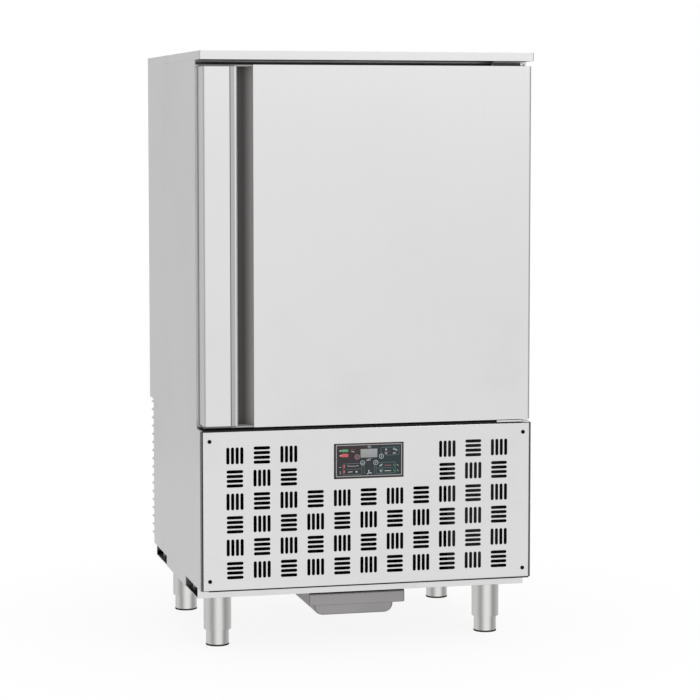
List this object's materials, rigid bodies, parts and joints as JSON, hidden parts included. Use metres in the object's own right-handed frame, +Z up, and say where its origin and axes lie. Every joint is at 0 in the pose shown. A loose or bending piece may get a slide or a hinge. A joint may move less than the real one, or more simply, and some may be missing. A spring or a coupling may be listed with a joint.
{
  "type": "blast chiller",
  "caption": "Free-standing stainless blast chiller on adjustable legs: insulated door with a full-height grip over a machine compartment with a slotted front panel and controls.",
  "frame": {"origin": "on the floor, in the middle of the overall width and depth", "axes": "+Z up, -Y out of the door's front, +X to the right for someone facing the door"},
  "size_m": [0.75, 0.7, 1.32],
  "materials": {
    "outer_steel": "satin, fine vertical or level grain",
    "inner_steel": "satin",
    "leg_steel": "turned and brushed",
    "grip_aluminium": "anodised, matt",
    "coil_aluminium": "plain",
    "zinc_steel": "zinc plated",
    "black_enamel": "semi-gloss",
    "guard_enamel": "powder coat",
    "box_enamel": "powder coat",
    "copper_pipe": "drawn copper",
    "foam": "foamed",
    "black_plastic": "fine grain",
    "grey_plastic": "fine grain",
    "gasket_rubber": "matt",
    "foot_rubber": "matt",
    "overlay_film": "printed film, gloss",
    "display_film": "gloss",
    "key_red": "gloss",
    "key_pale": "gloss"
  },
  "bodies": {
    "cabinet": {"top_cover": "outer_steel", "side_panel_left": "outer_steel", "side_panel_right": "outer_steel", "rear_casing": "outer_steel", "rear_louvre_panel": "outer_steel", "compartment_floor": "outer_steel", "base_channels": "outer_steel", "front_frame": "outer_steel", "front_panel": "outer_steel", "chamber_liner": "inner_steel", "rack_posts": "inner_steel", "tray_runners": "inner_steel", "fan_baffle": "inner_steel", "hinge_brackets": "inner_steel", "pan_rails": "inner_steel", "drain_pipe": "inner_steel", "leg_sleeves": "leg_steel", "evaporator_coil": "coil_aluminium", "condenser_coil": "coil_aluminium", "condenser_shroud": "zinc_steel", "evaporator_motors": "zinc_steel", "condenser_motor": "zinc_steel", "compressor": "black_enamel", "liquid_receiver": "black_enamel", "panel_screws": "black_enamel", "fan_guards": "guard_enamel", "electrical_box": "box_enamel", "refrigerant_pipes": "copper_pipe", "filter_drier": "copper_pipe", "cabinet_insulation": "foam", "control_bezel": "black_plastic", "cable_gland": "black_plastic", "thermal_break": "grey_plastic", "compressor_mounts": "gasket_rubber", "control_overlay": "overlay_film", "display_window": "display_film"},
    "door": {"door_skin": "outer_steel", "door_strip": "outer_steel", "door_handle": "grip_aluminium", "handle_caps": "grey_plastic", "door_insulation": "foam", "door_liner": "inner_steel", "door_gasket": "gasket_rubber", "hinge_bushes": "grey_plastic"},
    "evaporator_fan_upper": {"evaporator_fan_upper": "black_plastic"},
    "evaporator_fan_lower": {"evaporator_fan_lower": "black_plastic"},
    "condenser_fan": {"condenser_fan": "black_plastic"},
    "condensate_pan": {"condensate_pan": "outer_steel"},
    "key_1": {"key_1": "key_red"},
    "key_2": {"key_2": "key_pale"},
    "key_3": {"key_3": "key_pale"},
    "key_4": {"key_4": "key_pale"},
    "foot_front_left": {"foot_front_left": "leg_steel", "pad_front_left": "foot_rubber"},
    "foot_front_right": {"foot_front_right": "leg_steel", "pad_front_right": "foot_rubber"},
    "foot_rear_left": {"foot_rear_left": "leg_steel", "pad_rear_left": "foot_rubber"},
    "foot_rear_right": {"foot_rear_right": "leg_steel", "pad_rear_right": "foot_rubber"}
  },
  "joints": [
    {"name": "door_hinge", "type": "hinge", "parent": "cabinet", "child": "door", "pos_m": [0.35, -0.325, 0.9], "axis": [0, 0, 1], "range_deg": [0, 105]},
    {"name": "evaporator_fan_upper_spin", "type": "hinge", "parent": "cabinet", "child": "evaporator_fan_upper", "pos_m": [0, 0.154, 1.0505], "axis": [0, 1, 0], "continuous": true},
    {"name": "evaporator_fan_lower_spin", "type": "hinge", "parent": "cabinet", "child": "evaporator_fan_lower", "pos_m": [0, 0.154, 0.7505], "axis": [0, 1, 0], "continuous": true},
    {"name": "condenser_fan_spin", "type": "hinge", "parent": "cabinet", "child": "condenser_fan", "pos_m": [-0.117, -0.213, 0.308], "axis": [0, 1, 0], "continuous": true},
    {"name": "key_1_press", "type": "slide", "parent": "cabinet", "child": "key_1", "axis": [0, 1, 0], "range_m": [0, 0.0008], "stiffness_N_per_m": 400, "springref_m": -0.0004},
    {"name": "key_2_press", "type": "slide", "parent": "cabinet", "child": "key_2", "axis": [0, 1, 0], "range_m": [0, 0.0008], "stiffness_N_per_m": 400, "springref_m": -0.0004},
    {"name": "key_3_press", "type": "slide", "parent": "cabinet", "child": "key_3", "axis": [0, 1, 0], "range_m": [0, 0.0008], "stiffness_N_per_m": 400, "springref_m": -0.0004},
    {"name": "key_4_press", "type": "slide", "parent": "cabinet", "child": "key_4", "axis": [0, 1, 0], "range_m": [0, 0.0008], "stiffness_N_per_m": 400, "springref_m": -0.0004},
    {"name": "foot_front_left_height", "type": "slide", "parent": "cabinet", "child": "foot_front_left", "axis": [0, 0, 1], "range_m": [-0.015, 0.02]},
    {"name": "foot_front_right_height", "type": "slide", "parent": "cabinet", "child": "foot_front_right", "axis": [0, 0, 1], "range_m": [-0.015, 0.02]},
    {"name": "foot_rear_left_height", "type": "slide", "parent": "cabinet", "child": "foot_rear_left", "axis": [0, 0, 1], "range_m": [-0.015, 0.02]},
    {"name": "foot_rear_right_height", "type": "slide", "parent": "cabinet", "child": "foot_rear_right", "axis": [0, 0, 1], "range_m": [-0.015, 0.02]},
    {"name": "condensate_pan_slide", "type": "slide", "parent": "cabinet", "child": "condensate_pan", "axis": [0, -1, 0], "range_m": [0, 0.3]}
  ]
}
